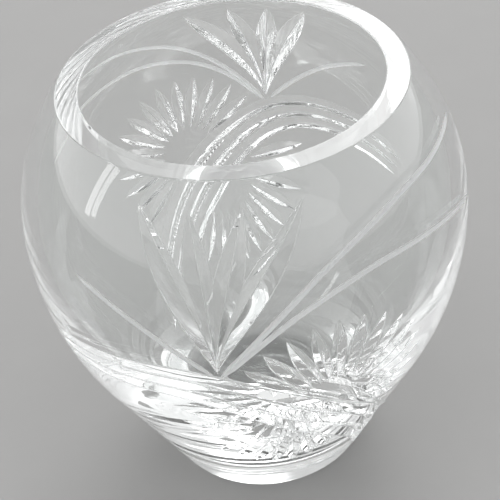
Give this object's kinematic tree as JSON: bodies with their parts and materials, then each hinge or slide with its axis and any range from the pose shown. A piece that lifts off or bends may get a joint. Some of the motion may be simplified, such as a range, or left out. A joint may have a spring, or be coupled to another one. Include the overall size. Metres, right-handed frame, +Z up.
{
  "type": "rose bowl vase",
  "caption": "Round rose bowl vase in clear cut crystal, with a wide mouth, a full belly and a narrow foot, wheel-cut with fans of leaves, sweeping arcs and sunbursts.",
  "frame": {"origin": "centre of the foot, on the plane the vase stands on", "axes": "+Z up along the vase's axis to the open mouth, -Y towards the viewer of the pattern's leaf fan"},
  "size_m": [0.1568, 0.1568, 0.17],
  "materials": {
    "crystal": "clear, polished all over"
  },
  "bodies": {
    "root": {"vase_body": "crystal"}
  },
  "joints": []
}
